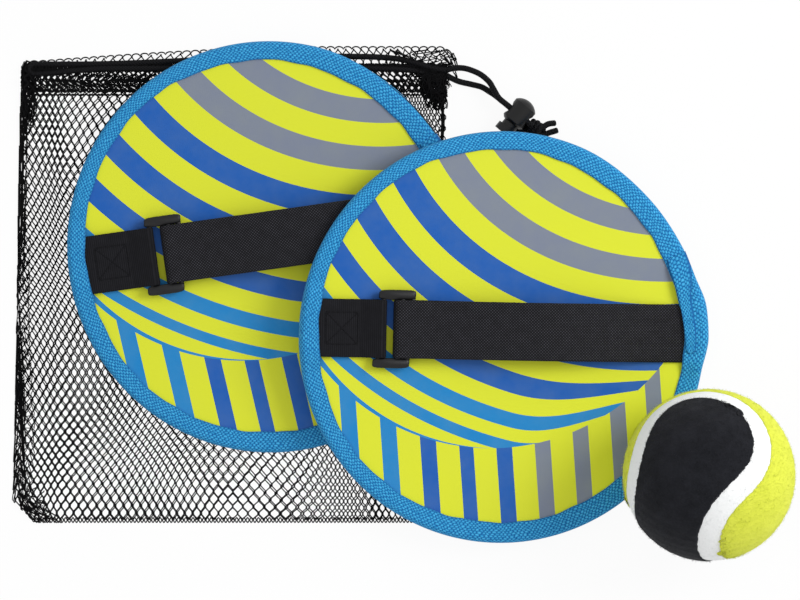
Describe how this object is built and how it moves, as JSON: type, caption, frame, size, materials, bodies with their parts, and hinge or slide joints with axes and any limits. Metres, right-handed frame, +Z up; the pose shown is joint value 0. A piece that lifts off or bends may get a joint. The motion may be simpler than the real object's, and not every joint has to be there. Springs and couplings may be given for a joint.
{
  "type": "hook-and-loop catch ball set",
  "caption": "Two round strapped bats with a looped catching face, a two-panel felt ball and a drawstring mesh bag, laid out as a set.",
  "frame": {"origin": "middle of the laid-out set's footprint, on the surface it lies on", "axes": "+X along the set's long side, from the bag towards the ball; +Y from the ball's side towards the bag's mouth; +Z up"},
  "size_m": [0.3414, 0.2268, 0.0748],
  "materials": {
    "bag_mesh": "knitted polyester mesh",
    "hem_mesh": "folded knitted mesh",
    "cord": "braided polyester cord",
    "lock_plastic": "satin moulded plastic",
    "spring_steel": "drawn spring wire",
    "foam_board": "closed-cell foam board",
    "printed_nylon": "printed nylon, lime with blue and grey stripes",
    "loop_pile": "looped nylon pile",
    "binding_tape": "ribbed woven tape",
    "webbing": "smooth woven webbing",
    "thread": "sewing thread",
    "elastic": "woven elastic",
    "buckle_plastic": "satin moulded plastic",
    "ball_rubber": "moulded rubber",
    "black_felt": "brushed felt",
    "yellow_felt": "brushed felt",
    "white_felt": "brushed felt"
  },
  "bodies": {
    "bag": {"bag_back_mesh": "bag_mesh", "bag_front_mesh": "bag_mesh", "bag_left_seam": "hem_mesh", "bag_right_seam": "hem_mesh", "bag_bottom_seam": "hem_mesh", "bag_back_hem": "hem_mesh", "bag_front_hem": "hem_mesh", "bag_gather": "hem_mesh", "drawcord": "cord", "cord_upper": "cord", "cord_lower": "cord", "cord_knot": "cord", "cord_tail_a": "cord", "cord_tail_b": "cord"},
    "lock": {"lock_housing": "lock_plastic", "lock_spring": "spring_steel"},
    "lock_button": {"lock_button": "lock_plastic"},
    "rear_bat": {"rear_core": "foam_board", "rear_print_face": "printed_nylon", "rear_catch_face": "loop_pile", "rear_binding": "binding_tape", "rear_binding_lap": "binding_tape", "rear_tab": "webbing", "rear_tab_stitching": "thread", "rear_strap": "elastic"},
    "rear_buckle": {"rear_buckle": "buckle_plastic"},
    "front_bat": {"front_core": "foam_board", "front_print_face": "printed_nylon", "front_catch_face": "loop_pile", "front_binding": "binding_tape", "front_binding_lap": "binding_tape", "front_tab": "webbing", "front_tab_stitching": "thread", "front_strap": "elastic"},
    "front_buckle": {"front_buckle": "buckle_plastic"},
    "ball": {"ball_core": "ball_rubber", "ball_black_felt": "black_felt", "ball_yellow_felt": "yellow_felt", "ball_seam_band": "white_felt"}
  },
  "joints": [
    {"name": "rear_bat_lift", "type": "slide", "parent": "bag", "child": "rear_bat", "axis": [0, 0, 1], "range_m": [0, 0.1]},
    {"name": "front_bat_lift", "type": "slide", "parent": "rear_bat", "child": "front_bat", "axis": [0, 0, 1], "range_m": [0, 0.1]},
    {"name": "ball_lift", "type": "slide", "parent": "front_bat", "child": "ball", "axis": [0, 0, 1], "range_m": [0, 0.1]},
    {"name": "rear_buckle_tilt", "type": "hinge", "parent": "rear_bat", "child": "rear_buckle", "pos_m": [-0.10858, 0.01902, 0.01105], "axis": [0.1392, -0.9901, -0.0185], "range_deg": [0, 20], "deforming": ["rear_strap"]},
    {"name": "front_buckle_tilt", "type": "hinge", "parent": "front_bat", "child": "front_buckle", "pos_m": [-0.00813, -0.01255, 0.02256], "axis": [-0.0211, -0.9991, -0.0377], "range_deg": [0, 20], "deforming": ["front_strap"]},
    {"name": "lock_slide", "type": "slide", "parent": "bag", "child": "lock", "axis": [-0.766, 0.6428, 0], "range_m": [0, 0.007]},
    {"name": "lock_button_press", "type": "slide", "parent": "lock", "child": "lock_button", "axis": [0.6428, 0.766, 0], "range_m": [0, 0.002], "stiffness_N_per_m": 800, "springref_m": -0.0015, "deforming": ["lock_spring"]}
  ]
}
